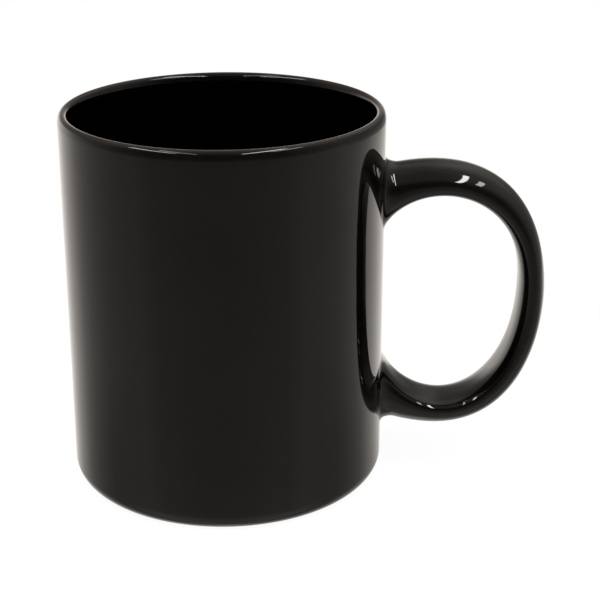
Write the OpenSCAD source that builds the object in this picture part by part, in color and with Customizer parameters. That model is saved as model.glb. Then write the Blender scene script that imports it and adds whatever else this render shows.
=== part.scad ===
// Ceramic mug with a loop handle. The clay cup and the clay handle are made
// separately, joined with slip at two roots, and then glazed in zones.
// Millimetres, +Z up. The origin is the centre of the foot ring, on the table,
// and the handle points along +X.

/* [Cup] */
// Diameter of the finished cup, over the glaze
cup_d = 80; // [74:1:90]
// Height of the finished cup, from the table to the crest of the lip
cup_h = 95; // [92:1:110]
// Thickness of the clay wall, without glaze
clay_wall = 2.0; // [1.8:0.1:3.4]
// Thickness of every glaze coat
glaze_t = 0.4; // [0.3:0.1:0.6]
// Radius of the long rounding that draws the wall in towards the lip
lip_ease = 4.2; // [3:0.1:5]
// Thickness of the clay floor
clay_floor = 4.0; // [3:0.5:6]
// Radius of the rounding inside, between wall and floor
floor_round = 8.0; // [5:0.5:12]
// Radius of the rounding outside, between wall and foot ring
heel_round = 4.0; // [3:0.5:6]

/* [Foot ring] */
// Width of the flat ring that the cup stands on
foot_w = 4.6; // [3:0.2:7]
// Depth of the recess in the clay inside the ring
recess_depth = 2.0; // [1.4:0.2:2.6]
// Angle round the heel at which the glaze stops above the table
waterline = 55; // [40:1:60]

/* [Handle] */
// Height of the handle's upper edge at the wall
handle_top = 80.6; // [78:0.2:84]
// Height of the handle's lower edge at the wall
handle_bottom = 13.6; // [11:0.2:16]
// How far the handle stands out from the wall
handle_reach = 41.0; // [36:0.1:46]
// Width of the handle, side to side
handle_w = 14.5; // [12:0.5:18]
// Thickness of the handle where the fingers close round it
grip_t = 6.6; // [5.5:0.1:8]
// Height of the top of the finger gap at the wall
gap_top = 65.5; // [62:0.5:67]
// Height of the bottom of the finger gap at the wall
gap_bottom = 30.5; // [28:0.5:34]
// How far the clay spreads at each root of the handle
root_flare = 1.6; // [0:0.2:3]

/* [Hidden] */

// Facets round the cup, and points in each rounded corner of its outline
ROUND_STEPS = 180;
CORNER_STEPS = 12;
EASE_STEPS = 5;

// Cup radii, from the outside in
cup_r = cup_d / 2;
clay_r = cup_r - glaze_t;
clay_inner_r = clay_r - clay_wall;

// Lip: long roundings draw both faces of the wall in to a small round crest,
// whose centre is in the middle of the wall
LIP_TURN = 22;
lip_round = (clay_wall / 2 - lip_ease * (1 - cos(LIP_TURN))) / cos(LIP_TURN);
lip_r = clay_r - clay_wall / 2;
lip_z = cup_h - glaze_t - lip_round;
ease_z = lip_z - (lip_ease - lip_round) * sin(LIP_TURN);

// Floor and foot
floor_z = recess_depth + clay_floor;
foot_outer_r = clay_r - heel_round;
foot_inner_r = foot_outer_r - foot_w;
recess_r = foot_inner_r - recess_depth;
// Angle round the recess corner at which the base glaze stops above the table
RECESS_WATERLINE = 28;

// Handle outline. Two curves follow its outer side and two its finger side.
// Each leaves the wall at an angle and turns to run straight up and down at
// the grip, and each angle and pull sets how far the curve keeps its direction.
OUTER_MID_Z = 47.6;
OUTER_TOP_ANGLE = 12.8;
OUTER_TOP_PULLS = [32.7, 18.4];
OUTER_BOTTOM_ANGLE = -17.7;
OUTER_BOTTOM_PULLS = [36, 14.6];
GAP_MID_Z = 49.7;
GAP_TOP_ANGLE = 61.2;
GAP_TOP_PULLS = [15.8, 26.3];
GAP_BOTTOM_ANGLE = -69;
GAP_BOTTOM_PULLS = [21.9, 34.5];

// Squareness of the handle's section on its outer side and on its finger side:
// 2 is an ellipse, more is squarer
OUTER_POWER = 2.1;
GAP_POWER = 2.5;
// Sections along each half of the handle, and points round each section
HALF_STEPS = 18;
RING_STEPS = 28;
// Length of the spread at each root, and how far the roots run into the wall
FLARE_LENGTH = 3.6;
ROOT_DEPTH = 2.5;

CLAY = "#e6ddcb";
SLIP = "#cfc2a8";
GLAZE = "#161415";
INSIDE_GLAZE = "#0d0c0d";

// Points on an arc in the r, z plane, from angle a0 to angle a1
function arc(centre, radius, a0, a1, steps = CORNER_STEPS) =
    [for (i = [0:steps]) let (a = a0 + (a1 - a0) * i / steps)
        centre + radius * [cos(a), sin(a)]];

function reverse(points) = [for (i = [len(points) - 1:-1:0]) points[i]];
function tail(points) = [for (i = [1:len(points) - 1]) points[i]];

lip_centre = [lip_r, lip_z];
outer_ease_centre = [clay_r - lip_ease, ease_z];
inner_ease_centre = [clay_inner_r + lip_ease, ease_z];
heel_centre = [foot_outer_r, heel_round];
floor_centre = [clay_inner_r - floor_round, floor_z + floor_round];
recess_centre = [recess_r, 0];

// Outlines of the clay surface and of the glaze lying "out" above it
function outer_lip(out) = concat(
    arc(outer_ease_centre, lip_ease + out, 0, LIP_TURN, EASE_STEPS),
    tail(arc(lip_centre, lip_round + out, LIP_TURN, 90)));
function inner_lip(out) = concat(
    arc(lip_centre, lip_round + out, 90, 180 - LIP_TURN),
    tail(arc(inner_ease_centre, lip_ease + out, 180 - LIP_TURN, 180, EASE_STEPS)));
function outer_side(out) = concat(
    arc(heel_centre, heel_round + out, -waterline, 0),
    outer_lip(out));
function inner_side(out) = concat(
    inner_lip(out),
    arc(floor_centre, floor_round - out, 0, -90),
    [[0, floor_z + out]]);
function base_side(out) = concat(
    [[0, recess_depth - out]],
    arc(recess_centre, recess_depth - out, 90, RECESS_WATERLINE));

// A skin between the clay surface and the glaze surface
module coat(clay_side, glaze_side) {
    rotate_extrude($fn = ROUND_STEPS)
        polygon(concat(glaze_side, reverse(clay_side)));
}

// One cubic curve, and the pair that makes one side of the handle
function curve(p, t) =
    pow(1 - t, 3) * p[0] + 3 * pow(1 - t, 2) * t * p[1]
    + 3 * (1 - t) * t * t * p[2] + pow(t, 3) * p[3];
function upper_curve(z_wall, angle, pulls, mid) = [
    [cup_r, z_wall],
    [cup_r, z_wall] + pulls[0] * [cos(angle), sin(angle)],
    mid + [0, pulls[1]],
    mid];
function lower_curve(z_wall, angle, pulls, mid) = [
    mid,
    mid - [0, pulls[1]],
    [cup_r, z_wall] + pulls[0] * [cos(angle), sin(angle)],
    [cup_r, z_wall]];
function side(upper, lower) = concat(
    [for (i = [0:HALF_STEPS - 1]) curve(upper, i / HALF_STEPS)],
    [for (i = [0:HALF_STEPS]) curve(lower, i / HALF_STEPS)]);

outer_mid = [cup_r + handle_reach, OUTER_MID_Z];
gap_mid = [cup_r + handle_reach - grip_t, GAP_MID_Z];
outer_points = side(
    upper_curve(handle_top, OUTER_TOP_ANGLE, OUTER_TOP_PULLS, outer_mid),
    lower_curve(handle_bottom, OUTER_BOTTOM_ANGLE, OUTER_BOTTOM_PULLS, outer_mid));
gap_points = side(
    upper_curve(gap_top, GAP_TOP_ANGLE, GAP_TOP_PULLS, gap_mid),
    lower_curve(gap_bottom, GAP_BOTTOM_ANGLE, GAP_BOTTOM_PULLS, gap_mid));

// Extra size near the wall, which fades out over the flare's length
function flare(x) = root_flare * pow(max(0, 1 - (x - cup_r) / FLARE_LENGTH), 2);
function signed_power(v, power) = sign(v) * pow(abs(v), power);

// One section: a rounded bar between an outer point and a gap point, squarer on
// its finger side and "inset" smaller all round. The clay lies one coat under
// the glazed surface.
function section(outer, gap, inset) =
    let (
        spread = flare(outer[0]),
        tip = outer + [0, spread * sign(outer[1] - gap[1])],
        middle = (tip + gap) / 2,
        depth = norm(tip - gap),
        half = (tip - gap) * (depth - 2 * inset) / depth / 2,
        half_w = handle_w / 2 + spread - inset)
    [for (i = [0:RING_STEPS - 1])
        let (
            a = 360 * i / RING_STEPS,
            power = cos(a) > 0 ? OUTER_POWER : GAP_POWER,
            c = signed_power(cos(a), 2 / power),
            s = signed_power(sin(a), 2 / power),
            at = middle + half * c)
        [at[0], half_w * s, at[1]]];

function moved(ring, dx) = [for (p = ring) p + [dx, 0, 0]];

// Closed solid along the handle, which also runs "depth" into the cup's wall
module sweep(inset, depth) {
    inner = [for (i = [0:2 * HALF_STEPS])
        section(outer_points[i], gap_points[i], inset)];
    rings = concat(
        [moved(inner[0], -depth)],
        inner,
        [moved(inner[2 * HALF_STEPS], -depth)]);
    last = len(rings) - 1;
    n = RING_STEPS;
    sides = [for (k = [0:last - 1]) for (i = [0:n - 1])
        let (
            a = k * n + i,
            b = k * n + (i + 1) % n)
        each [[a, b, b + n], [a, b + n, a + n]]];
    caps = [
        [for (i = [n - 1:-1:0]) i],
        [for (i = [0:n - 1]) last * n + i]];
    polyhedron(points = [for (ring = rings) each ring], faces = concat(sides, caps));
}

module clay_sweep() {
    sweep(glaze_t, ROOT_DEPTH);
}

module glazed_sweep() {
    sweep(0, ROOT_DEPTH / 2);
}

module cup_cylinder(radius) {
    cylinder(r = radius, h = cup_h, $fn = ROUND_STEPS);
}

// The slip that fills the window in the outside glaze at one root
module slip_joint(z_low, z_high) {
    color(SLIP)
        difference() {
            intersection() {
                clay_sweep();
                cup_cylinder(cup_r);
                translate([0, -handle_w, z_low])
                    cube([cup_d, 2 * handle_w, z_high - z_low]);
            }
            cup_cylinder(clay_r);
        }
}

module cup_body() {
    color(CLAY)
        rotate_extrude($fn = ROUND_STEPS)
            polygon(concat(
                [[0, recess_depth]],
                arc(recess_centre, recess_depth, 90, 0),
                arc(heel_centre, heel_round, -90, 0),
                outer_lip(0),
                tail(inner_lip(0)),
                arc(floor_centre, floor_round, 0, -90),
                [[0, floor_z]]));
}

module handle() {
    color(CLAY)
        difference() {
            clay_sweep();
            cup_cylinder(cup_r);
        }
}

module upper_slip_joint() {
    slip_joint(GAP_MID_Z, cup_h);
}

module lower_slip_joint() {
    slip_joint(0, GAP_MID_Z);
}

module inside_glaze() {
    color(INSIDE_GLAZE)
        coat(inner_side(0), inner_side(glaze_t));
}

module outside_glaze() {
    color(GLAZE)
        difference() {
            coat(outer_side(0), outer_side(glaze_t));
            clay_sweep();
        }
}

module handle_glaze() {
    color(GLAZE)
        difference() {
            glazed_sweep();
            clay_sweep();
            cup_cylinder(cup_r);
        }
}

module base_glaze() {
    color(GLAZE)
        coat(base_side(0), base_side(glaze_t));
}

cup_body();
handle();
upper_slip_joint();
lower_slip_joint();
inside_glaze();
outside_glaze();
handle_glaze();
base_glaze();
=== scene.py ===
import math

import bmesh
import bpy
import numpy as np
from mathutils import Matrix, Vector


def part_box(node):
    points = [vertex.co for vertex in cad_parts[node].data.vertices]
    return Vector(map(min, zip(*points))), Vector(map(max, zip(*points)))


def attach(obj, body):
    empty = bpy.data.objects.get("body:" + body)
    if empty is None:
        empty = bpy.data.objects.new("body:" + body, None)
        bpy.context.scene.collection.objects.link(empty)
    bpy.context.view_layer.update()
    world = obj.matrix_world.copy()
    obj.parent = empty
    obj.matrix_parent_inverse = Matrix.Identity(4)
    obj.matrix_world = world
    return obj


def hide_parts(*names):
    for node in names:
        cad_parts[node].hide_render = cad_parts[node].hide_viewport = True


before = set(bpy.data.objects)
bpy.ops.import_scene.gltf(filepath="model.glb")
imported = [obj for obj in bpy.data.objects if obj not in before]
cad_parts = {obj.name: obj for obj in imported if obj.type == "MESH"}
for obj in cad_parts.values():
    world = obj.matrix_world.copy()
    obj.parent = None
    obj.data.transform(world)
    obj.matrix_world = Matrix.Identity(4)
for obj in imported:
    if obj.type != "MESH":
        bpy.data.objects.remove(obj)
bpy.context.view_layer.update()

BODY = "root"
MM = 0.001

# ------------------------------------------------------------------ sizes
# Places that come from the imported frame, in metres
_, clay_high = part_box("cup_body")
_, coat_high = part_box("outside_glaze")
inside_low, inside_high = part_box("inside_glaze")
_, base_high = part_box("base_glaze")
_, grip_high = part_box("handle_glaze")

CUP_R = coat_high.x
CUP_TOP = coat_high.z
CLAY_R = clay_high.x
GLAZE_T = CUP_R - CLAY_R
LIP_R = inside_high.x
HALF_WALL = CLAY_R - LIP_R
CLAY_INNER_R = LIP_R - HALF_WALL
FLOOR_Z = inside_low.z
RECESS_DEPTH = base_high.z
HANDLE_TIP = grip_high.x

# The lip, as in the CAD: long roundings draw the wall in to a small round crest
LIP_EASE = 4.2 * MM
LIP_TURN = 22
TURN_COS, TURN_SIN = math.cos(math.radians(LIP_TURN)), math.sin(math.radians(LIP_TURN))
LIP_ROUND = (HALF_WALL - LIP_EASE * (1 - TURN_COS)) / TURN_COS
LIP_Z = CUP_TOP - GLAZE_T - LIP_ROUND
EASE_Z = LIP_Z - (LIP_EASE - LIP_ROUND) * TURN_SIN

# Roundings of the cup, as in the CAD
FLOOR_ROUND = 8 * MM
HEEL_ROUND = 4 * MM
FOOT_W = 4.6 * MM
WATERLINE = 55
RECESS_WATERLINE = 28
HEEL_R = CLAY_R - HEEL_ROUND
RECESS_R = HEEL_R - FOOT_W - RECESS_DEPTH

# The ring of bare clay between the two waterlines
BARE_OUTER_R = HEEL_R + HEEL_ROUND * math.cos(math.radians(WATERLINE))
BARE_INNER_R = RECESS_R + RECESS_DEPTH * math.cos(math.radians(RECESS_WATERLINE))
BARE_MIDDLE_R = (BARE_OUTER_R + BARE_INNER_R) / 2
BARE_HALF_W = (BARE_OUTER_R - BARE_INNER_R) / 2

# Handle outline, as in the CAD: angles and pulls of four curves
HANDLE_TOP = 80.6 * MM
HANDLE_BOTTOM = 13.6 * MM
GRIP_T = 6.6 * MM
GAP_TOP = 65.5 * MM
GAP_BOTTOM = 30.5 * MM
ROOT_FLARE = 1.6 * MM
FLARE_LENGTH = 3.6 * MM
HALF_W = grip_high.y - ROOT_FLARE
OUTER_POWER = 2.1
GAP_POWER = 2.5
OUTER_MID = np.array([HANDLE_TIP, 47.6 * MM])
GAP_MID = np.array([HANDLE_TIP - GRIP_T, 49.7 * MM])
OUTER_TOP = (12.8, 32.7 * MM, 18.4 * MM)
OUTER_BOTTOM = (-17.7, 36 * MM, 14.6 * MM)
GAP_TOP_TURN = (61.2, 15.8 * MM, 26.3 * MM)
GAP_BOTTOM_TURN = (-69, 21.9 * MM, 34.5 * MM)

# Mesh density
ROUND_STEPS = 256
ARC_STEPS = 20
LINE_STEP = 1.6 * MM
RING_STEPS = 88
GRIP_STEPS = 72

# Where the handle's glaze runs out onto the wall
FILLET = 0.9 * MM
FILLET_STEPS = 10
FLARE_STEPS = 9
SKIRT = 0.7 * MM
SKIRT_LIFT = 0.003 * MM
CAP_STEPS = 6
SHARP_ANGLE = math.radians(38)


# ------------------------------------------------------------------ mesh tools
def make_mesh(name, points, faces):
    """A new object with these points and faces, shaded smooth, with its true corners kept sharp."""
    mesh = bpy.data.meshes.new(name)
    mesh.from_pydata([tuple(p) for p in points], [], faces)
    work = bmesh.new()
    work.from_mesh(mesh)
    bmesh.ops.recalc_face_normals(work, faces=work.faces)
    work.to_mesh(mesh)
    work.free()
    return finish_mesh(bpy.data.objects.new(name, mesh))


def finish_mesh(piece):
    mesh = piece.data
    mesh.polygons.foreach_set("use_smooth", [True] * len(mesh.polygons))
    mesh.set_sharp_from_angle(angle=SHARP_ANGLE)
    mesh.update()
    bpy.context.scene.collection.objects.link(piece)
    return piece


def stand_for(piece, node, material):
    """Puts a finished piece in place of a CAD node."""
    piece.data.materials.clear()
    piece.data.materials.append(material)
    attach(piece, BODY)
    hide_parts(node)


def arc(centre, radius, start, end, steps=ARC_STEPS):
    """Points (r, z) on an arc, from one angle to another in degrees."""
    a = np.radians(np.linspace(start, end, steps + 1))
    return np.stack([centre[0] + radius * np.cos(a), centre[1] + radius * np.sin(a)], 1)


def outline(*runs):
    """Joins runs of points, and fills the straight stretch between two runs."""
    points = [np.asarray(runs[0], float)]
    for run in runs[1:]:
        run = np.asarray(run, float)
        start, end = points[-1][-1], run[0]
        steps = max(1, round(np.linalg.norm(end - start) / LINE_STEP))
        fractions = np.arange(1, steps)[:, None] / steps
        points.append(start + (end - start) * fractions)
        if np.linalg.norm(end - start) < 1e-9:
            run = run[1:]
        points.append(run)
    return np.concatenate(points)


def wave(theta, terms):
    """A closed ripple round the cup, from (size, count, phase) terms."""
    return sum(size * np.cos(count * theta + phase) for size, count, phase in terms)


# The slow waver of the wall: (millimetres, count round the cup, phase)
WALL_WAVES = ((0.006, 3, 0.4), (0.004, 7, 2.1), (0.002, 13, 4.0))
# How fast the waver shifts round with height, and a fainter band pattern, in radians per metre
WALL_SHIFT = 55
BAND_RATE = 310
BAND_SIZE = 0.003
# The waver starts this far above the table on the outside, and fades in over the next stretch
WAVER_START, WAVER_FADE = 2 * MM, 6 * MM
# Inside it is stronger, and fades out towards the crest of the lip and the middle of the floor
INSIDE_WAVER, LIP_FADE, MIDDLE_FADE = 1.5, 8 * MM, 10 * MM


def wall_wave(theta, z):
    """How far the glazed wall stands proud of a true cylinder: 15 microns at most, in metres."""
    slow = wave(theta + 2.0 * np.sin(WALL_SHIFT * z), WALL_WAVES)
    bands = BAND_SIZE * np.sin(BAND_RATE * z + np.cos(2 * theta))
    return (slow + bands) * MM


def lathe(name, rows_at):
    """A closed shell turned round Z. rows_at(theta) gives its closed outline there, as (r, z) points.
    Where the outline starts and ends on the axis, the poles are single points."""
    thetas = np.arange(ROUND_STEPS) * 2 * math.pi / ROUND_STEPS
    outlines = np.array([rows_at(t) for t in thetas])
    count = outlines.shape[1]
    on_axis = outlines[0, :, 0] < 1e-9
    points, index = [], np.zeros((ROUND_STEPS, count), int)
    for i in range(count):
        if on_axis[i]:
            index[:, i] = len(points)
            points.append((0, 0, outlines[:, i, 1].mean()))
            continue
        for j, t in enumerate(thetas):
            r, z = outlines[j, i]
            index[j, i] = len(points)
            points.append((r * math.cos(t), r * math.sin(t), z))
    faces = []
    for j in range(ROUND_STEPS):
        k = (j + 1) % ROUND_STEPS
        for i in range(count):
            n = (i + 1) % count
            if on_axis[i] and on_axis[n]:
                continue
            corners = [index[j, i], index[k, i], index[k, n], index[j, n]]
            faces.append(list(dict.fromkeys(corners)))
    return make_mesh(name, points, faces)


# ------------------------------------------------------------------ cup pieces
lip_centre = (LIP_R, LIP_Z)
outer_ease_centre = (CLAY_R - LIP_EASE, EASE_Z)
inner_ease_centre = (CLAY_INNER_R + LIP_EASE, EASE_Z)
heel_centre = (HEEL_R, HEEL_ROUND)
floor_centre = (CLAY_INNER_R - FLOOR_ROUND, FLOOR_Z + FLOOR_ROUND)
recess_centre = (RECESS_R, 0)

# The glaze stops in a slightly wandering line: (degrees, count round the cup, phase)
WATERLINE_WAVES = ((1.6, 2, 0.9), (1.0, 5, 3.0), (0.7, 11, 1.2), (0.4, 19, 5.0))
# The outside line runs this many degrees above the waterline, and its lowest waves reach it
WATERLINE_LIFT = 3


def rolled_edge(centre, radius, end, steps=6):
    """The rounded end of a coat at an angle on an arc, from glaze surface to clay surface."""
    middle = np.array(centre) + (radius + GLAZE_T / 2) * np.array(
        [math.cos(math.radians(end)), math.sin(math.radians(end))])
    return arc(middle, GLAZE_T / 2, end, end - 180, steps)


def outer_lip(out):
    """The outer half of the lip, from the wall up to its crest, this far above the clay."""
    return np.concatenate([arc(outer_ease_centre, LIP_EASE + out, 0, LIP_TURN, 12),
                           arc(lip_centre, LIP_ROUND + out, LIP_TURN, 90)[1:]])


def inner_lip(out):
    """The inner half of the lip, from its crest down to the wall."""
    return np.concatenate([arc(lip_centre, LIP_ROUND + out, 90, 180 - LIP_TURN),
                           arc(inner_ease_centre, LIP_EASE + out, 180 - LIP_TURN, 180, 12)[1:]])


def outside_rows(theta):
    """The outside glaze: up from the foot, over the lip, and back down along the clay."""
    end = -WATERLINE + WATERLINE_LIFT + wave(theta, WATERLINE_WAVES)
    heel = arc(heel_centre, HEEL_ROUND + GLAZE_T, end, 0)
    face = outline(heel, outer_lip(GLAZE_T))
    above_foot = np.clip((face[:, 1] - WAVER_START) / WAVER_FADE, 0, 1)
    face[:, 0] += wall_wave(theta, face[:, 1]) * above_foot
    clay = outline(outer_lip(0)[::-1], arc(heel_centre, HEEL_ROUND, 0, end))
    roll = rolled_edge(heel_centre, HEEL_ROUND, end)[::-1]
    return np.concatenate([face, clay, roll[1:-1]])


def inside_rows(theta):
    """The inside glaze: down from the crest of the lip, and back up along the clay."""
    floor = arc(floor_centre, FLOOR_ROUND - GLAZE_T, 0, -90)
    face = outline(inner_lip(GLAZE_T), floor, [[0, FLOOR_Z + GLAZE_T]])
    deep = np.clip((CUP_TOP - face[:, 1]) / LIP_FADE, 0, 1)
    away = np.clip(face[:, 0] / MIDDLE_FADE, 0, 1)
    face[:, 0] -= INSIDE_WAVER * wall_wave(theta + 1, face[:, 1]) * deep * away
    clay = outline([[0, FLOOR_Z]], arc(floor_centre, FLOOR_ROUND, -90, 0), inner_lip(0)[::-1])
    return np.concatenate([face, clay])


def base_rows(theta):
    """The glaze in the recess, which follows the clay above it."""
    end = RECESS_WATERLINE + 3 * wave(theta, WATERLINE_WAVES) / 2
    face = outline([[0, RECESS_DEPTH - GLAZE_T]], arc(recess_centre, RECESS_DEPTH - GLAZE_T, 90, end))
    clay = outline(arc(recess_centre, RECESS_DEPTH, end, 90), [[0, RECESS_DEPTH]])
    return np.concatenate([face, clay])


# The foot ring's flat: how wide and deep its soft corners are, and how high and close
# (in radians per millimetre) its turning lines are
FOOT_STEPS = 40
FOOT_CORNER, FOOT_CORNER_LIFT = 0.7 * MM, 0.10 * MM
FOOT_LINE, FOOT_LINE_RATE = 0.012 * MM, 14
# The angles at which the roundings beside the flat leave off
RECESS_END, HEEL_END = 8, -86


def clay_rows(theta):
    """The bare clay. The foot ring's flat has soft corners and faint turning lines."""
    inner, outer = HEEL_R - FOOT_W, HEEL_R
    across = np.linspace(inner, outer, FOOT_STEPS)
    edge = np.clip(np.minimum(across - inner, outer - across) / FOOT_CORNER, 0, 1)
    lines = FOOT_LINE * (1 + np.sin(across / MM * FOOT_LINE_RATE + 0.3 * np.sin(theta * 3)))
    lift = lines * edge + FOOT_CORNER_LIFT * (1 - edge) ** 2
    flat = np.stack([across, lift], 1)
    recess = arc(recess_centre, RECESS_DEPTH, 90, RECESS_END)
    heel = arc(heel_centre, HEEL_ROUND, HEEL_END, 0)
    lip = np.concatenate([outer_lip(0), inner_lip(0)[1:]])
    floor = arc(floor_centre, FLOOR_ROUND, 0, -90)
    return outline([[0, RECESS_DEPTH]], recess, flat, heel, lip, floor, [[0, FLOOR_Z]])


# ------------------------------------------------------------------ handle
def bezier(ends, t):
    """Points of a cubic curve. Past either end it runs on straight."""
    t = np.asarray(t, float)[..., None]
    a, b, c, d = ends
    inside = (1 - t) ** 3 * a + 3 * (1 - t) ** 2 * t * b + 3 * (1 - t) * t * t * c + t ** 3 * d
    before = a + 3 * t * (b - a)
    after = d + 3 * (t - 1) * (d - c)
    return np.where(t < 0, before, np.where(t > 1, after, inside))


def curve_pair(top, top_turn, bottom, bottom_turn, mid):
    """The two curves of one side of the handle, wall to grip and grip to wall."""
    curves = []
    for height, (angle, pull, mid_pull), way in ((top, top_turn, 1), (bottom, bottom_turn, -1)):
        wall = np.array([CUP_R, height])
        turn = math.radians(angle)
        toward = wall + pull * np.array([math.cos(turn), math.sin(turn)])
        ends = [wall, toward, mid + np.array([0, way * mid_pull]), mid]
        curves.append(ends if way == 1 else ends[::-1])
    return curves


OUTER_CURVES = curve_pair(HANDLE_TOP, OUTER_TOP, HANDLE_BOTTOM, OUTER_BOTTOM, OUTER_MID)
GAP_CURVES = curve_pair(GAP_TOP, GAP_TOP_TURN, GAP_BOTTOM, GAP_BOTTOM_TURN, GAP_MID)


def along(curves, t):
    """A point of one side at t, where 0 and 2 are at the wall and 1 is at the grip."""
    t = np.asarray(t, float)
    return np.where((t < 1)[..., None], bezier(curves[0], t), bezier(curves[1], t - 1))


def section_place(angle):
    """Where an angle round the handle's section lies: towards its outer side, and sideways."""
    c, s = np.cos(angle), np.sin(angle)
    bend = 2 / np.where(c > 0, OUTER_POWER, GAP_POWER)
    return np.sign(c) * np.abs(c) ** bend, np.sign(s) * np.abs(s) ** bend


def sweep_point(t, angle, inset):
    """A point on the handle at t and at an angle round its section, before the root spreads."""
    outer, gap = along(OUTER_CURVES, t), along(GAP_CURVES, t)
    middle, half = (outer + gap) / 2, (outer - gap) / 2
    depth = np.linalg.norm(half, axis=-1, keepdims=True)
    c, s = section_place(angle)
    at = middle + half * (depth - inset) / depth * c[..., None]
    side = (HALF_W - inset) * s
    return np.stack([at[..., 0], side, at[..., 1]], -1)


def wall_distance(points):
    return np.hypot(points[..., 0], points[..., 1]) - CUP_R


RING = np.arange(RING_STEPS) * 2 * math.pi / RING_STEPS
# How far outside the wall each row near a root lies
FILLET_TURNS = np.radians(np.linspace(0, 90, FILLET_STEPS + 1))
FILLET_ROWS = FILLET * (1 - np.cos(FILLET_TURNS))
FLARE_ROWS = np.linspace(FILLET, FLARE_LENGTH, FLARE_STEPS + 1)[1:]
ROOT_ROWS = np.concatenate([FILLET_ROWS, FLARE_ROWS])
# The stretch of the handle that is searched for those rows, and how far outside the wall
ROOT_SCAN = np.linspace(-0.25, 0.6, 1200)
SCAN_REACH = FLARE_LENGTH * 1.2


def root_t(inset, way):
    """For each row near a root and each angle, the t at which the surface is that far from the wall."""
    found = np.zeros((len(ROOT_ROWS), RING_STEPS))
    for i, angle in enumerate(RING):
        t = ROOT_SCAN if way == 1 else 2 - ROOT_SCAN
        distance = wall_distance(sweep_point(t, np.full_like(t, angle), inset))
        first = np.argmax(distance > SCAN_REACH)
        rising = np.maximum.accumulate(distance[:first + 1])
        found[:, i] = np.interp(ROOT_ROWS, rising, t[:first + 1])
    return found


def spread_out(points, rows, fillet, way):
    """Spreads rows near a root over the wall: the clay's flare, and then the fillet of glaze."""
    u = CUP_R * np.arctan2(points[..., 1], points[..., 0])
    z = points[..., 2].copy()
    flare = ROOT_FLARE * (1 - rows / FLARE_LENGTH)[:, None] ** 2
    c, s = section_place(RING)
    u = u + flare * s
    z = z + way * flare * (1 + c) / 2
    edge_u, edge_z = u[0], z[0]
    du = np.roll(edge_u, -1) - np.roll(edge_u, 1)
    dz = np.roll(edge_z, -1) - np.roll(edge_z, 1)
    length = np.hypot(du, dz)
    normal_u, normal_z = dz / length, -du / length
    if np.sum(normal_u * (edge_u - edge_u.mean())) < 0:
        normal_u, normal_z = -normal_u, -normal_z
    grow = np.zeros(len(rows))
    near = rows < FILLET
    grow[near] = 1 - np.sqrt(1 - (1 - rows[near] / FILLET) ** 2)
    u = u + fillet * grow[:, None] * normal_u
    z = z + fillet * grow[:, None] * normal_z
    return u, z, normal_u, normal_z


def on_wall(u, z, distance):
    """Points at a distance outside the glazed wall, from places measured along it."""
    theta = u / CUP_R
    fade = np.clip(1 - distance / FILLET, 0, 1)
    r = CUP_R + distance + wall_wave(theta, z) * fade
    return np.stack([r * np.cos(theta), r * np.sin(theta), z], -1)


def handle_rows(inset, fillet):
    """Rows of points along the handle's surface, from the upper root to the lower one."""
    distance = np.broadcast_to(ROOT_ROWS[:, None], (len(ROOT_ROWS), RING_STEPS))
    parts, skirts, ends = [], [], []
    for way in (1, -1):
        t = root_t(inset, way)
        points = sweep_point(t, np.broadcast_to(RING, t.shape), inset)
        u, z, normal_u, normal_z = spread_out(points, ROOT_ROWS, fillet, way)
        parts.append(on_wall(u, z, distance))
        ends.append(t[-1])
        lift = SKIRT_LIFT if fillet else 0
        skirt = [on_wall(u[0] + w * normal_u, z[0] + w * normal_z, np.full(RING_STEPS, lift))
                 for w in np.linspace(SKIRT, 0, 4)[:-1]]
        skirts.append(np.array(skirt))
    fractions = np.linspace(0, 1, GRIP_STEPS + 1)[1:-1, None]
    t = ends[0] + (ends[1] - ends[0]) * fractions
    grip = sweep_point(t, np.broadcast_to(RING, t.shape), inset)
    rows = np.concatenate([parts[0], grip, parts[1][::-1]])
    return rows, skirts


def grid_faces(rows, first):
    """Quads between consecutive rows of ring points, whose indices start at first."""
    faces = []
    for k in range(rows - 1):
        for i in range(RING_STEPS):
            n = (i + 1) % RING_STEPS
            a = first + k * RING_STEPS
            b = a + RING_STEPS
            faces.append([a + i, a + n, b + n, b + i])
    return faces


def wall_place(row):
    """Where a row of points lies on the wall: the distance round it, and the height."""
    return CUP_R * np.arctan2(row[:, 1], row[:, 0]), row[:, 2]


def rows_between(first, last, steps, distance=0.0):
    """Rows on the wall from one row of places to another, without the two ends."""
    return [on_wall(first[0] + (last[0] - first[0]) * f, first[1] + (last[1] - first[1]) * f,
                    np.full(RING_STEPS, distance))
            for f in np.linspace(0, 1, steps + 1)[1:-1]]


def cap_faces(row, centre, flip):
    """A fan from one row to a centre point."""
    faces = [[row + i, row + (i + 1) % RING_STEPS, centre] for i in range(RING_STEPS)]
    return [face[::-1] for face in faces] if flip else faces


def closed_tube(name, rows, start, end):
    """A solid along rows of ring points, closed at both ends by a centre point."""
    points = np.concatenate([np.reshape(rows, (-1, 3)), [start, end]])
    count = len(rows)
    faces = grid_faces(count, 0)
    faces += cap_faces(0, count * RING_STEPS, True)
    faces += cap_faces((count - 1) * RING_STEPS, count * RING_STEPS + 1, False)
    return make_mesh(name, points, faces)


def disc_rows(row, distance):
    """Rows that run in from a root's outline to its middle, along the wall, and the middle."""
    u, z = wall_place(row)
    middle = (np.full(RING_STEPS, u.mean()), np.full(RING_STEPS, (z.max() + z.min()) / 2))
    rows = rows_between((u, z), middle, CAP_STEPS, distance)
    return rows, on_wall(middle[0][:1], middle[1][:1], np.array([distance]))[0]


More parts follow.
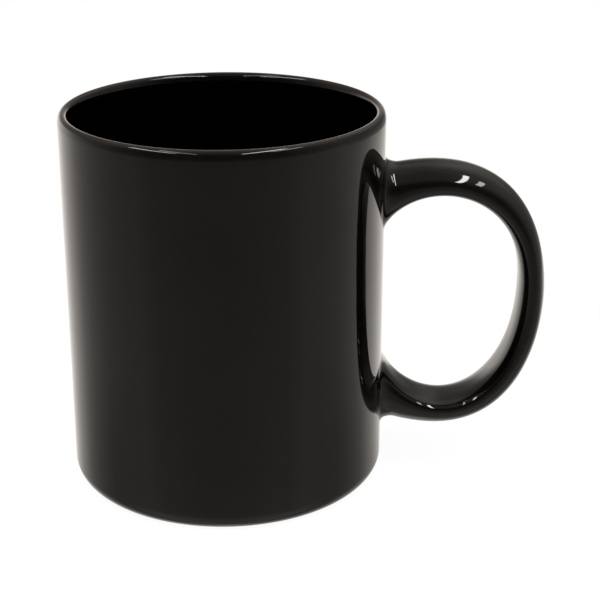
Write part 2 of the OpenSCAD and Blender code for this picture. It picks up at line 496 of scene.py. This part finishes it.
def make_handle_glaze():
    """The handle's coat of glaze: a tube over the clay, which runs out flush with the wall."""
    outer, skirts = handle_rows(0, FILLET)
    inner, _ = handle_rows(GLAZE_T, 0)
    outer = np.concatenate([skirts[0], outer, skirts[1][::-1]])
    first, last = (rows_between(wall_place(outer[end]), wall_place(inner[end]), CAP_STEPS)
                   for end in (0, -1))
    loop = np.concatenate([outer, last, inner[::-1], first[::-1]])
    faces = grid_faces(len(loop), 0)
    edge = (len(loop) - 1) * RING_STEPS
    for i in range(RING_STEPS):
        n = (i + 1) % RING_STEPS
        faces.append([edge + i, edge + n, n, i])
    return make_mesh("handle_glaze_skin", loop.reshape(-1, 3), faces)


def make_clay_handle():
    rows, _ = handle_rows(GLAZE_T, 0)
    start, middle_start = disc_rows(rows[0], 0)
    end, middle_end = disc_rows(rows[-1], 0)
    return closed_tube("bare_clay_handle", [*start[::-1], *rows, *end], middle_start, middle_end)


def make_plug(name, end, inner, outer):
    """The outline of the clay handle's root, through the wall from one distance to another."""
    rows, _ = handle_rows(GLAZE_T, 0)
    u, z = wall_place(rows[end])
    rims = [on_wall(u, z, np.full(RING_STEPS, distance)) for distance in (inner, outer)]
    start, middle_start = disc_rows(rims[0], inner)
    finish, middle_finish = disc_rows(rims[1], outer)
    return closed_tube(name, [*start[::-1], *rims, *finish], middle_start, middle_finish)


def cut_windows(skin):
    """Opens the outside glaze where the two roots of the handle pass to the clay."""
    cutters = [make_plug(f"window_{end}", end, -2 * GLAZE_T, GLAZE_T) for end in (0, -1)]
    for cutter in cutters:
        step = skin.modifiers.new(cutter.name, "BOOLEAN")
        step.operation = "DIFFERENCE"
        step.solver = "EXACT"
        step.object = cutter
    whole = skin.evaluated_get(bpy.context.evaluated_depsgraph_get())
    cut = bpy.data.meshes.new_from_object(whole)
    skin.modifiers.clear()
    skin.data = cut
    cut.polygons.foreach_set("use_smooth", [True] * len(cut.polygons))
    cut.set_sharp_from_angle(angle=SHARP_ANGLE)
    for cutter in cutters:
        bpy.data.objects.remove(cutter)


# ------------------------------------------------------------------ materials
class Nodes:
    """Adds shader nodes to a material and links them."""

    def __init__(self, name):
        self.material = bpy.data.materials.new(name)
        self.material.use_nodes = True
        self.tree = self.material.node_tree
        self.shader = self.tree.nodes["Principled BSDF"]
        self.place = self.add("ShaderNodeTexCoord").outputs["Object"]

    def add(self, kind, **settings):
        node = self.tree.nodes.new(kind)
        for key, value in settings.items():
            setattr(node, key, value)
        return node

    def link(self, output, socket):
        self.tree.links.new(output, socket)

    def noise(self, scale, detail=3.0, roughness=0.5, distortion=0.0):
        node = self.add("ShaderNodeTexNoise")
        node.inputs["Scale"].default_value = scale
        node.inputs["Detail"].default_value = detail
        node.inputs["Roughness"].default_value = roughness
        node.inputs["Distortion"].default_value = distortion
        self.link(self.place, node.inputs["Vector"])
        return node.outputs["Fac"]

    def cells(self, scale):
        """The distance to the nearest point of a scatter."""
        node = self.add("ShaderNodeTexVoronoi")
        node.inputs["Scale"].default_value = scale
        self.link(self.place, node.inputs["Vector"])
        return node.outputs["Distance"]

    def radius(self):
        """The distance from the mug's axis, near the foot."""
        node = self.add("ShaderNodeVectorMath", operation="LENGTH")
        self.link(self.place, node.inputs[0])
        return node.outputs["Value"]

    def height(self):
        node = self.add("ShaderNodeSeparateXYZ")
        self.link(self.place, node.inputs["Vector"])
        return node.outputs["Z"]

    def remap(self, value, low, high, to_low=0.0, to_high=1.0):
        node = self.add("ShaderNodeMapRange")
        node.inputs["From Min"].default_value = low
        node.inputs["From Max"].default_value = high
        node.inputs["To Min"].default_value = to_low
        node.inputs["To Max"].default_value = to_high
        self.link(value, node.inputs["Value"])
        return node.outputs["Result"]

    def math(self, operation, *values):
        node = self.add("ShaderNodeMath", operation=operation)
        for socket, value in zip(node.inputs, values):
            if isinstance(value, (int, float)):
                socket.default_value = value
            else:
                self.link(value, socket)
        return node.outputs["Value"]

    def mix(self, factor, first, second):
        node = self.add("ShaderNodeMix", data_type="RGBA")
        self.link(factor, node.inputs["Factor"])
        for socket, value in ((node.inputs[6], first), (node.inputs[7], second)):
            if isinstance(value, tuple):
                socket.default_value = (*value, 1)
            else:
                self.link(value, socket)
        return node.outputs[2]

    def bump(self, height, distance, under=None):
        node = self.add("ShaderNodeBump")
        node.inputs["Distance"].default_value = distance
        self.link(height, node.inputs["Height"])
        if under is not None:
            self.link(under, node.inputs["Normal"])
        return node.outputs["Normal"]


GLAZE_IOR = 1.5
# Where the glaze thins out, by the height plus up to BREAK_WANDER of noise: over LIP_BREAK
# from the top of the lip up, and down through FOOT_BREAK at the foot
LIP_BREAK, FOOT_BREAK, BREAK_WANDER = 0.6 * MM, (0.9 * MM, 2.2 * MM), 0.8 * MM
# Depths of relief: orange peel and pinholes, then grit, turning lines and lumps in the clay
PEEL, PIT = 0.0012 * MM, 0.03 * MM
GRIT, LINE_CUT, LUMPS = 0.03 * MM, 0.02 * MM, 0.05 * MM
# Turning lines on the foot ring, in radians per metre of radius
TURNING_LINES = 2 * math.pi / (0.75 * MM)
# The toasted edge of the bare clay starts inside and ends outside the waterlines
TOAST_IN, TOAST_OUT, TOAST_WANDER = 0.4 * MM, 0.7 * MM, 1.4 * MM
# Only the lowest clay, which stands on the table, is scuffed
SCUFF_HEIGHTS = (0.02 * MM, 0.1 * MM)
GROG, TURNED = (0.10, 0.07, 0.05), (0.33, 0.25, 0.17)
TOASTED, SCUFFED = (0.27, 0.13, 0.06), (0.24, 0.22, 0.20)


def glaze_material(name, deep, warm, flecks, shine, rough):
    """A gloss black glaze: slow changes of depth, faint orange peel, and a few pinholes.
    It breaks to brown where it is thin, at the lip and beside the foot ring."""
    n = Nodes(name)
    tone = n.remap(n.noise(38, detail=4), 0.35, 0.65)
    grain = n.remap(n.noise(900, detail=2), 0.45, 0.75)
    base = n.mix(tone, deep, warm)
    fleck = n.mix(n.math("MULTIPLY", grain, 0.25), base, flecks)
    height = n.math("MULTIPLY_ADD", n.noise(140, detail=3), BREAK_WANDER, n.height())
    at_lip = n.remap(height, CUP_TOP, CUP_TOP + LIP_BREAK)
    at_foot = n.remap(height, *FOOT_BREAK, 1, 0)
    thin = n.math("MAXIMUM", at_lip, at_foot)
    n.link(n.mix(n.math("MULTIPLY", thin, 0.6), fleck, THIN_GLAZE), n.shader.inputs["Base Color"])
    smear = n.noise(70, detail=5, roughness=0.6, distortion=0.4)
    n.link(n.remap(smear, 0.3, 0.7, shine, rough), n.shader.inputs["Roughness"])
    n.shader.inputs["IOR"].default_value = GLAZE_IOR
    peel = n.bump(n.noise(420, detail=2, roughness=0.4), PEEL)
    pit = n.remap(n.cells(150), 0.02, 0.035)
    n.link(n.bump(pit, PIT, under=peel), n.shader.inputs["Normal"])
    return n.material


def clay_material(name, pale, dark):
    """Bare fired stoneware: mottled body, grog specks, a dry surface with fine grit.
    The foot ring shows turning lines, a toasted edge beside the glaze, and grey scuffs."""
    n = Nodes(name)
    mottle = n.remap(n.noise(90, detail=6, roughness=0.65), 0.3, 0.7)
    body = n.mix(mottle, pale, dark)
    grog = n.remap(n.cells(900), 0.12, 0.24, 1, 0)
    which = n.remap(n.noise(420, detail=1), 0.5, 0.58)
    colour = n.mix(n.math("MULTIPLY", grog, which), body, GROG)
    radius = n.radius()
    turns = n.math("MULTIPLY", radius, TURNING_LINES)
    wander = n.math("MULTIPLY_ADD", n.noise(60, detail=2), 3.0, turns)
    lines = n.remap(n.math("SINE", wander), 0.2, 1.0)
    colour = n.mix(n.math("MULTIPLY", lines, 0.55), colour, TURNED)
    off_middle = n.math("ABSOLUTE", n.math("SUBTRACT", radius, BARE_MIDDLE_R))
    ragged = n.math("MULTIPLY_ADD", n.noise(350, detail=4, roughness=0.7), TOAST_WANDER, off_middle)
    toast = n.remap(ragged, BARE_HALF_W - TOAST_IN, BARE_HALF_W + TOAST_OUT)
    colour = n.mix(n.math("MULTIPLY", toast, 0.7), colour, TOASTED)
    scuff = n.math("MULTIPLY", n.remap(n.height(), *SCUFF_HEIGHTS, 1, 0),
                   n.remap(n.noise(240, detail=4), 0.45, 0.6))
    colour = n.mix(n.math("MULTIPLY", scuff, 0.45), colour, SCUFFED)
    n.link(colour, n.shader.inputs["Base Color"])
    n.link(n.remap(n.noise(300, detail=3), 0.3, 0.7, 0.72, 0.92), n.shader.inputs["Roughness"])
    grit = n.bump(n.noise(2600, detail=3, roughness=0.7), GRIT)
    cut = n.bump(lines, LINE_CUT, under=grit)
    n.link(n.bump(n.noise(300, detail=4), LUMPS, under=cut), n.shader.inputs["Normal"])
    return n.material


BLACK_DEEP = (0.0010, 0.0008, 0.0007)
BLACK_WARM = (0.0022, 0.0017, 0.0014)
BASE_WARM, BASE_FLECKS = (0.004, 0.003, 0.0025), (0.012, 0.009, 0.007)
# The inside glaze is the same glaze as the outside, painted several times darker: painted shade for the
# inside of the cup.
SHADED_INSIDE_DEEP, SHADED_INSIDE_WARM = (0.0001, 0.0001, 0.00012), (0.0003, 0.00027, 0.00027)
SHADED_INSIDE_FLECKS = (0.0008, 0.0007, 0.0007)
FLECKS = (0.005, 0.004, 0.0034)
THIN_GLAZE = (0.014, 0.0045, 0.002)
outside_glaze = glaze_material("outside_black_glaze", BLACK_DEEP, BLACK_WARM, FLECKS, 0.035, 0.05)
handle_glaze = glaze_material("handle_black_glaze", BLACK_DEEP, BLACK_WARM, FLECKS, 0.035, 0.05)
inside_glaze = glaze_material("inside_black_glaze_painted_shade", SHADED_INSIDE_DEEP, SHADED_INSIDE_WARM, SHADED_INSIDE_FLECKS, 0.04, 0.07)
base_glaze = glaze_material("base_black_glaze", BLACK_DEEP, BASE_WARM, BASE_FLECKS, 0.06, 0.14)
CLAY_PALE, CLAY_DARK = (0.62, 0.53, 0.41), (0.50, 0.41, 0.30)
SLIP_PALE, SLIP_DARK = (0.52, 0.43, 0.32), (0.42, 0.34, 0.25)
clay = clay_material("bare_stoneware", CLAY_PALE, CLAY_DARK)
slip = clay_material("luting_slip", SLIP_PALE, SLIP_DARK)


# ------------------------------------------------------------------ make the pieces
outer_skin = lathe("outer_glaze_skin", outside_rows)
cut_windows(outer_skin)
stand_for(outer_skin, "outside_glaze", outside_glaze)
stand_for(lathe("inner_glaze_skin", inside_rows), "inside_glaze", inside_glaze)
stand_for(lathe("base_glaze_skin", base_rows), "base_glaze", base_glaze)
stand_for(lathe("bare_clay_cup", clay_rows), "cup_body", clay)
stand_for(make_handle_glaze(), "handle_glaze", handle_glaze)
stand_for(make_clay_handle(), "handle", clay)
stand_for(make_plug("upper_slip", 0, -GLAZE_T, 0), "upper_slip_joint", slip)
stand_for(make_plug("lower_slip", -1, -GLAZE_T, 0), "lower_slip_joint", slip)


# ------------------------------------------------------------------ camera
CAMERA_PLACE = (18.94 * MM, -352.24 * MM, 182.88 * MM)
CAMERA_PITCH = math.radians(21.43)
CAMERA_LENS = 88.74
SENSOR_WIDTH = 36

camera = bpy.data.objects.new("camera", bpy.data.cameras.new("camera"))
camera.data.lens = CAMERA_LENS
camera.data.sensor_width = SENSOR_WIDTH
camera.data.clip_start = 0.01
camera.location = CAMERA_PLACE
camera.rotation_euler = (math.pi / 2 - CAMERA_PITCH, 0, 0)
bpy.context.scene.collection.objects.link(camera)
bpy.context.scene.camera = camera


# ------------------------------------------------------------------ floor and light
SHEET_R = 0.8
SHEET_BEND = 0.4
SHEET_TOP = 1.6
SHEET_STEPS = 96
# From SHADE_START to SHADE_END from the mug's axis, plain white light goes from this share to all
SHADE_START, SHADE_END, SHADE_WHITE = 0.04, 0.16, 0.93
PAPER = (0.93, 0.93, 0.93)


def make_floor():
    """A pale round sheet that curves up far from the mug and is white to its edges."""
    bend = arc((SHEET_R, SHEET_BEND), SHEET_BEND, -90, 0, 12)
    profile = [(0.0, 0.0), (0.25, 0.0), (0.5, 0.0), *map(tuple, bend), (SHEET_R + SHEET_BEND, SHEET_TOP)]
    steps = SHEET_STEPS
    points, faces = [(0, 0, 0)], []
    for r, z in profile[1:]:
        points += [(r * math.cos(2 * math.pi * j / steps), r * math.sin(2 * math.pi * j / steps), z)
                   for j in range(steps)]
    for j in range(steps):
        k = (j + 1) % steps
        faces.append([0, 1 + j, 1 + k])
        for i in range(len(profile) - 2):
            a = 1 + i * steps
            faces.append([a + j, a + steps + j, a + steps + k, a + k])
    mesh = bpy.data.meshes.new("floor")
    mesh.from_pydata(points, [], faces)
    mesh.polygons.foreach_set("use_smooth", [True] * len(faces))
    floor = bpy.data.objects.new("floor", mesh)
    bpy.context.scene.collection.objects.link(floor)
    return floor


def floor_material():
    """White paper near the mug, where its shadow falls, which turns to plain white further out.
    It can't be seen from below, so the underside of the mug can."""
    material = bpy.data.materials.new("white_paper")
    material.use_nodes = True
    tree = material.node_tree
    tree.nodes.clear()
    add, link = tree.nodes.new, tree.links.new
    paper = add("ShaderNodeBsdfDiffuse")
    paper.inputs["Color"].default_value = (*PAPER, 1)
    white = add("ShaderNodeEmission")
    white.inputs["Strength"].default_value = 1.0
    place = add("ShaderNodeTexCoord")
    away = add("ShaderNodeVectorMath")
    away.operation = "LENGTH"
    link(place.outputs["Object"], away.inputs[0])
    spread = add("ShaderNodeMapRange")
    spread.inputs["From Min"].default_value = SHADE_START
    spread.inputs["From Max"].default_value = SHADE_END
    spread.inputs["To Min"].default_value = SHADE_WHITE
    link(away.outputs["Value"], spread.inputs["Value"])
    top = add("ShaderNodeMixShader")
    link(spread.outputs["Result"], top.inputs["Fac"])
    link(paper.outputs["BSDF"], top.inputs[1])
    link(white.outputs["Emission"], top.inputs[2])
    side = add("ShaderNodeNewGeometry")
    clear = add("ShaderNodeBsdfTransparent")
    sheet = add("ShaderNodeMixShader")
    link(side.outputs["Backfacing"], sheet.inputs["Fac"])
    link(top.outputs["Shader"], sheet.inputs[1])
    link(clear.outputs["BSDF"], sheet.inputs[2])
    link(sheet.outputs["Shader"], add("ShaderNodeOutputMaterial").inputs["Surface"])
    return material


floor = make_floor()
floor.data.materials.append(floor_material())
floor.visible_glossy = False


def area_light(name, place, target, width, length, watts, glossy):
    light = bpy.data.lights.new(name, "AREA")
    light.shape = "RECTANGLE"
    light.size, light.size_y = width, length
    light.energy = watts
    lamp = bpy.data.objects.new(name, light)
    lamp.location = place
    lamp.rotation_euler = (Vector(target) - Vector(place)).to_track_quat("-Z", "Y").to_euler()
    lamp.visible_glossy = glossy
    bpy.context.scene.collection.objects.link(lamp)


STRIP_HEIGHT = 1.05
# (name, x, width, front, back, radiance)
STRIPS = (("right_strip_near", 0.48, 0.09, -1.6, -0.1, 20),
          ("right_strip_far", 0.78, 0.13, -0.95, -0.2, 9),
          ("left_strip_near", -0.45, 0.05, -1.6, -0.1, 10),
          ("left_strip_far", -0.85, 0.15, -1.4, -0.1, 14))


def strip_light(name, x, width, front, back, radiance):
    """A long softbox overhead, which runs from front to back beside the mug and faces down."""
    place = Vector((x, (front + back) / 2, STRIP_HEIGHT))
    length = back - front
    watts = radiance * math.pi * width * length
    area_light(name, place, place - Vector((0, 0, 1)), width, length, watts, True)


area_light("overhead_fill", (0, -0.1, 1.1), (0, 0, 0), 1.4, 1.4, 16, False)
for strip in STRIPS:
    strip_light(*strip)


# The room seen from the mug. ROOM_ROUND is its level by direction round the mug, from -1 in
# front to 1 behind. The others change that level with height, from -1 straight down to 1
# straight up: in front, at the sides, behind, and behind to the right.
ROOM_ROUND = ((-1, 0.22), (-0.7, 0.28), (-0.5, 0.38), (-0.26, 0.42), (0, 0.5), (0.17, 0.55),
              (0.34, 0.62), (0.5, 0.75), (0.64, 1.0), (0.77, 1.15), (0.87, 1.3))
ROOM_FRONT = ((-1, 1.7), (-0.75, 2.0), (-0.6, 1.8), (-0.47, 1.2), (-0.3, 1.0), (-0.22, 0.75),
              (-0.12, 0.42), (-0.02, 0.3), (0.1, 0.22), (0.28, 0.2), (0.44, 0.34), (0.52, 0.62),
              (0.6, 0.95), (0.75, 1.2), (1, 1.3))
ROOM_SIDE = ((-1, 0.5), (-0.6, 0.52), (-0.46, 0.58), (-0.4, 0.84), (-0.2, 0.9), (0, 0.6),
             (0.2, 0.65), (0.4, 0.8), (0.6, 1.0), (1, 0.8))
ROOM_BACK = ((-1, 0.7), (-0.6, 0.7), (-0.46, 0.72), (-0.4, 0.95), (-0.2, 1.05), (0, 1.25),
             (0.1, 0.9), (0.2, 0.42), (0.3, 0.25), (0.45, 0.19), (0.6, 0.2), (0.72, 0.36),
             (0.85, 0.44), (0.93, 0.37), (1, 0.29))
ROOM_BACK_RIGHT = ((-1, 0.55), (-0.6, 0.55), (-0.46, 0.58), (-0.4, 0.95), (-0.28, 1.0),
                   (-0.22, 0.3), (-0.08, 0.16), (0.18, 0.15), (0.3, 0.22), (0.42, 0.34),
                   (0.55, 0.44), (0.65, 0.5), (0.75, 0.6), (0.85, 0.6), (0.95, 0.42), (1, 0.29))
ROOM_TINT = (1.02, 0.96, 0.90)
# A colour ramp holds 0 to 1, so levels are divided by this, and multiplied back after it
RAMP_TOP = 2.0
# How fast the room in front or behind takes over from the side, and where, as a share of the
# level distance, the right back takes over from the back
SIDE_RATE = 1.25
RIGHT_START, RIGHT_RATE = 0.05, 3


def make_world():
    """A pale room: bright behind the mug and dim in front of it, with a dark band above level."""
    world = bpy.data.worlds.new("studio")
    bpy.context.scene.world = world
    world.use_nodes = True
    tree = world.node_tree
    tree.nodes.clear()
    add, link = tree.nodes.new, tree.links.new

    def calc(operation, *values, clamp=False):
        node = add("ShaderNodeMath")
        node.operation = operation
        node.use_clamp = clamp
        for socket, value in zip(node.inputs, values):
            if isinstance(value, (int, float)):
                socket.default_value = value
            else:
                link(value, socket)
        return node.outputs["Value"]

    def ramp(value, stops):
        node = add("ShaderNodeValToRGB")
        elements = node.color_ramp.elements
        while len(elements) < len(stops):
            elements.new(0.5)
        for element, (at, level) in zip(elements, stops):
            element.position = (at + 1) / 2
            element.color = (*[level / RAMP_TOP] * 3, 1)
        link(calc("MULTIPLY_ADD", value, 0.5, 0.5), node.inputs["Fac"])
        return node.outputs["Color"]

    def mix(factor, first, second):
        node = add("ShaderNodeMix")
        link(factor, node.inputs["Factor"])
        link(first, node.inputs["A"])
        link(second, node.inputs["B"])
        return node.outputs["Result"]

    place = add("ShaderNodeTexCoord")
    axes = add("ShaderNodeSeparateXYZ")
    link(place.outputs["Generated"], axes.inputs["Vector"])
    x, y, z = (axes.outputs[name] for name in "XYZ")
    flat = calc("SQRT", calc("ADD", calc("MULTIPLY", x, x), calc("MULTIPLY", y, y)))
    level_reach = calc("MAXIMUM", flat, 0.001)
    round_mug = calc("DIVIDE", y, level_reach)
    behind = calc("MULTIPLY", round_mug, SIDE_RATE, clamp=True)
    before = calc("MULTIPLY", round_mug, -SIDE_RATE, clamp=True)
    rightward = calc("DIVIDE", x, level_reach)
    to_right = calc("MULTIPLY", calc("SUBTRACT", rightward, RIGHT_START), RIGHT_RATE, clamp=True)
    back = mix(to_right, ramp(z, ROOM_BACK), ramp(z, ROOM_BACK_RIGHT))
    by_height = mix(before, mix(behind, ramp(z, ROOM_SIDE), back), ramp(z, ROOM_FRONT))
    level = calc("MULTIPLY", ramp(round_mug, ROOM_ROUND), by_height)
    background = add("ShaderNodeBackground")
    background.inputs["Color"].default_value = (*ROOM_TINT, 1)
    link(calc("MULTIPLY", level, RAMP_TOP * RAMP_TOP), background.inputs["Strength"])
    link(background.outputs["Background"], add("ShaderNodeOutputWorld").inputs["Surface"])


make_world()
bpy.context.scene.view_settings.view_transform = "Standard"
